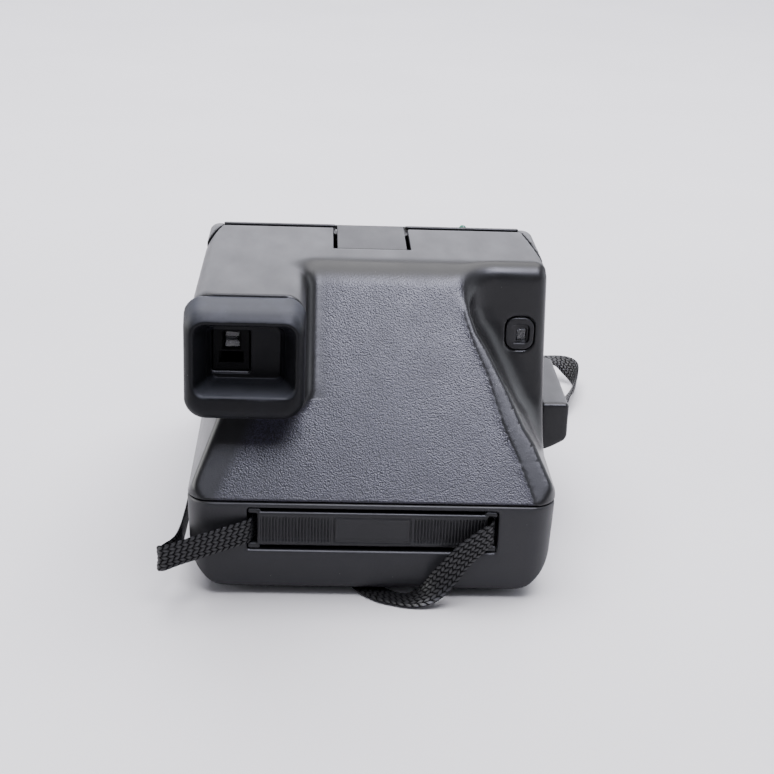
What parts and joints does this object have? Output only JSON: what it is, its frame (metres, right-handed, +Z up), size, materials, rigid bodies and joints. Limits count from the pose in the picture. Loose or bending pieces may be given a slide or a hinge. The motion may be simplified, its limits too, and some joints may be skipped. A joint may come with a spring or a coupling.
{
  "type": "instant camera",
  "caption": "Box-type instant camera with a fold-down flash hood, sloping back, rubber eyecup, hinged film door with rollers, side grip and woven strap.",
  "frame": {"origin": "on the table under the middle of the camera's own box, the strap left out", "axes": "+Y from the eyecup towards the lens and the print exit, +Z up, +X to the grip side"},
  "size_m": [0.1601, 0.2405, 0.0966],
  "materials": {
    "shell_plastic": "satin",
    "base_plastic": "satin",
    "trim_plastic": "satin",
    "eyecup_rubber": "matte",
    "black_plastic": "matte",
    "clear_plastic": "gloss",
    "green_plastic": "gloss",
    "white_plastic": "matte",
    "steel": "satin",
    "copper": "satin",
    "mirror_glass": "mirror",
    "circuit_board": "satin",
    "strap_nylon": "woven"
  },
  "bodies": {
    "camera_body": {"upper_shell": "shell_plastic", "hinge_cover": "trim_plastic", "base_tub": "base_plastic", "foot_rear_left": "eyecup_rubber", "foot_rear_right": "eyecup_rubber", "foot_front_left": "eyecup_rubber", "foot_front_right": "eyecup_rubber", "strap_bar": "trim_plastic", "strap": "strap_nylon", "eyecup": "eyecup_rubber", "viewfinder_mask": "black_plastic", "viewfinder_tube": "black_plastic", "viewfinder_eyepiece": "clear_plastic", "viewfinder_front_lens": "clear_plastic", "front_housing": "shell_plastic", "lens_barrel": "black_plastic", "taking_lens": "clear_plastic", "shutter_housing": "black_plastic", "photocell": "black_plastic", "photocell_window": "clear_plastic", "light_chamber": "black_plastic", "mirror": "mirror_glass", "flash_hinge_pin_left": "steel", "flash_hinge_pin_right": "steel", "film_door_pin": "steel", "shutter_grip": "shell_plastic", "counter_plug": "trim_plastic", "counter_window": "clear_plastic", "drive_motor": "steel", "gear_plate": "black_plastic", "main_board": "circuit_board", "battery_contact_left": "copper", "battery_contact_right": "copper"},
    "flash_unit": {"flash_cover": "shell_plastic", "ready_lamp": "green_plastic", "flash_inner_cover": "trim_plastic", "flash_window": "clear_plastic", "flash_reflector": "steel", "flash_tube": "clear_plastic", "flash_capacitor": "black_plastic"},
    "film_door_unit": {"film_door": "base_plastic", "roller_frame": "steel"},
    "upper_roller_body": {"upper_roller": "steel"},
    "lower_roller_body": {"lower_roller": "steel"},
    "door_latch_body": {"door_latch": "trim_plastic"},
    "shutter_button_body": {"shutter_button": "trim_plastic"},
    "override_button_body": {"flash_override_button": "trim_plastic"},
    "exposure_slider_body": {"exposure_slider": "trim_plastic"},
    "left_blade_body": {"shutter_blade_left": "steel"},
    "right_blade_body": {"shutter_blade_right": "steel"},
    "counter_dial_body": {"counter_dial": "black_plastic"},
    "pinion_body": {"motor_pinion": "white_plastic"},
    "idler_body": {"idler_gear": "white_plastic"},
    "cam_body": {"cam_gear": "white_plastic"},
    "pick_arm_body": {"pick_arm": "steel"}
  },
  "joints": [
    {"name": "flash_hinge", "type": "hinge", "parent": "camera_body", "child": "flash_unit", "pos_m": [-0.00495, 0.0164, 0.0926], "axis": [1, 0, 0], "range_deg": [0, 78]},
    {"name": "film_door_hinge", "type": "hinge", "parent": "camera_body", "child": "film_door_unit", "pos_m": [-0.00495, 0.0495, 0.005], "axis": [-1, 0, 0], "range_deg": [0, 85]},
    {"name": "lower_roller_spin", "type": "hinge", "parent": "film_door_unit", "child": "lower_roller_body", "pos_m": [-0.00495, 0.061, 0.0206], "axis": [1, 0, 0], "continuous": true},
    {"name": "upper_roller_spin", "type": "hinge", "parent": "film_door_unit", "child": "upper_roller_body", "pos_m": [-0.00495, 0.061, 0.0295], "axis": [1, 0, 0], "continuous": true},
    {"name": "door_latch_slide", "type": "slide", "parent": "camera_body", "child": "door_latch_body", "axis": [0, 1, 0], "range_m": [0, 0.0045], "stiffness_N_per_m": 150, "springref_m": -0.001},
    {"name": "shutter_button_press", "type": "slide", "parent": "camera_body", "child": "shutter_button_body", "axis": [0, -1, 0], "range_m": [0, 0.002], "stiffness_N_per_m": 300, "springref_m": -0.001},
    {"name": "override_button_press", "type": "slide", "parent": "camera_body", "child": "override_button_body", "axis": [0, -1, 0], "range_m": [0, 0.0015], "stiffness_N_per_m": 200, "springref_m": -0.001},
    {"name": "exposure_slide", "type": "slide", "parent": "camera_body", "child": "exposure_slider_body", "axis": [1, 0, 0], "range_m": [-0.006, 0.006]},
    {"name": "left_blade_slide", "type": "slide", "parent": "camera_body", "child": "left_blade_body", "axis": [-1, 0, 0], "range_m": [0, 0.008], "stiffness_N_per_m": 20, "springref_m": -0.001},
    {"name": "right_blade_slide", "type": "slide", "parent": "camera_body", "child": "right_blade_body", "axis": [1, 0, 0], "range_m": [0, 0.008]},
    {"name": "counter_dial_turn", "type": "hinge", "parent": "camera_body", "child": "counter_dial_body", "pos_m": [0.03805, -0.0253, 0.0665], "axis": [0, 1, 0], "range_deg": [0, 300]},
    {"name": "cam_spin", "type": "hinge", "parent": "camera_body", "child": "cam_body", "pos_m": [0.04155, 0.006, 0.0618], "axis": [0, 1, 0], "continuous": true},
    {"name": "idler_spin", "type": "hinge", "parent": "camera_body", "child": "idler_body", "pos_m": [0.04155, 0.006, 0.0498], "axis": [0, 1, 0], "continuous": true},
    {"name": "pinion_spin", "type": "hinge", "parent": "camera_body", "child": "pinion_body", "pos_m": [0.04155, 0.006, 0.042], "axis": [0, 1, 0], "continuous": true},
    {"name": "pick_arm_slide", "type": "slide", "parent": "camera_body", "child": "pick_arm_body", "axis": [0, 1, 0], "range_m": [0, 0.008], "stiffness_N_per_m": 40, "springref_m": -0.001}
  ],
  "couplings": [
    {"joint": "upper_roller_spin", "follows": "lower_roller_spin", "ratio": -1},
    {"joint": "right_blade_slide", "follows": "left_blade_slide", "ratio": 1},
    {"joint": "idler_spin", "follows": "cam_spin", "ratio": -1.2222},
    {"joint": "pinion_spin", "follows": "cam_spin", "ratio": 2.75}
  ]
}
